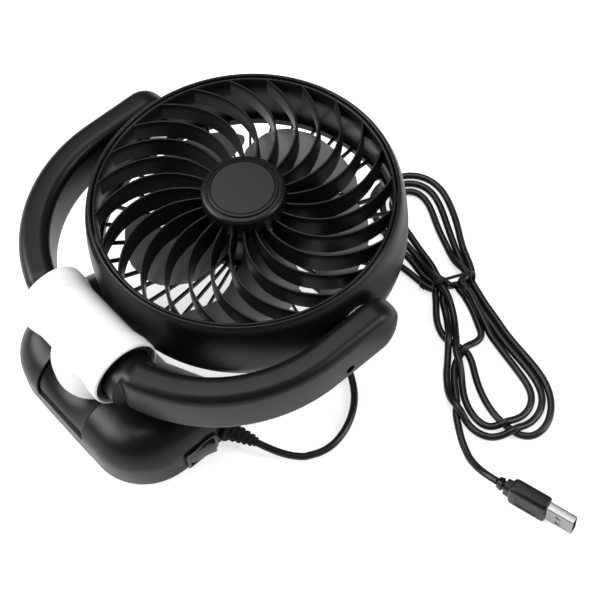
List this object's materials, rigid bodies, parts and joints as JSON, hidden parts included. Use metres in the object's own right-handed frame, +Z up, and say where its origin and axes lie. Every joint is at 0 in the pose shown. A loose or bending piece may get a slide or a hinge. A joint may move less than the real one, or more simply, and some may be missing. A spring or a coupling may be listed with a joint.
{
  "type": "desk fan",
  "caption": "Small USB fan: a round grilled head tilting in a U-shaped yoke on a white tee, above a black clamp base, with a tied cord.",
  "frame": {"origin": "on the desk under the middle of the fan, its cord left out", "axes": "+Z up; +Y from the base towards the head; +X to the side that has the switch and the cord"},
  "size_m": [0.3035, 0.2386, 0.0838],
  "materials": {
    "black_satin": "satin black moulded plastic",
    "hub_matte": "matte dark grey plastic",
    "black_gloss": "glossy black plastic",
    "white_gloss": "glossy white plastic",
    "blade_grey": "mid grey moulded plastic",
    "steel": "plain steel",
    "usb_steel": "nickel-plated steel",
    "rubber": "black rubber",
    "nylon": "natural nylon",
    "board": "green circuit board",
    "cord_black": "smooth black PVC"
  },
  "bodies": {
    "base": {"base_body": "black_satin", "middle_cover": "black_satin", "slide_rail": "steel", "swivel_post": "black_satin", "swivel_ring": "steel", "swivel_bolt": "steel", "switch_body": "black_gloss", "circuit_board": "board", "bottom_cover": "black_satin", "cover_screw_1": "steel", "cover_screw_2": "steel", "cover_screw_3": "steel", "cover_screw_4": "steel", "base_pad_front": "rubber", "base_pad_back": "rubber", "cord_gland": "cord_black", "cord_lead": "cord_black", "cord_coil_far": "cord_black", "cord_coil_near": "cord_black", "twist_tie": "cord_black", "cord_tail": "cord_black", "usb_plug_body": "black_satin", "usb_shell": "usb_steel", "usb_tongue": "white_gloss"},
    "clamp": {"clamp_block": "black_satin", "clamp_pad_front": "rubber", "clamp_pad_back": "rubber"},
    "rocker": {"rocker": "black_gloss"},
    "tee": {"tee_sleeve": "white_gloss", "tee_bush_right": "rubber", "tee_bush_left": "rubber"},
    "yoke": {"yoke": "black_satin", "yoke_screw_right": "steel", "yoke_screw_left": "steel"},
    "head": {"fan_housing": "black_satin", "front_grille": "black_satin", "hub_disc": "hub_matte", "rear_grille": "black_satin", "motor_can": "steel", "motor_screw_1": "steel", "motor_screw_2": "steel", "motor_screw_3": "steel", "pivot_washer_right": "nylon", "pivot_washer_left": "nylon", "pivot_pin_right": "steel", "pivot_pin_left": "steel"},
    "impeller": {"impeller": "blade_grey", "motor_shaft": "steel", "impeller_clip": "nylon"}
  },
  "joints": [
    {"name": "clamp_slide", "type": "slide", "parent": "base", "child": "clamp", "axis": [-1, 0, 0], "range_m": [0, 0.018]},
    {"name": "rocker_switch", "type": "hinge", "parent": "base", "child": "rocker", "pos_m": [0.06, -0.061, 0.0079], "axis": [0, 0, 1], "range_deg": [0, 16]},
    {"name": "tee_swivel", "type": "hinge", "parent": "base", "child": "tee", "pos_m": [0, -0.0734, 0.0567], "axis": [0, 0, 1], "range_deg": [-170, 170]},
    {"name": "yoke_pitch", "type": "hinge", "parent": "tee", "child": "yoke", "pos_m": [0, -0.0734, 0.0567], "axis": [1, 0, 0], "range_deg": [0, 120]},
    {"name": "head_tilt", "type": "hinge", "parent": "yoke", "child": "head", "pos_m": [0, 0.0241, 0.0567], "axis": [1, 0, 0], "range_deg": [-22, 22]},
    {"name": "impeller_spin", "type": "hinge", "parent": "head", "child": "impeller", "pos_m": [0, 0.0241, 0.0567], "axis": [0, 0, 1], "continuous": true}
  ]
}
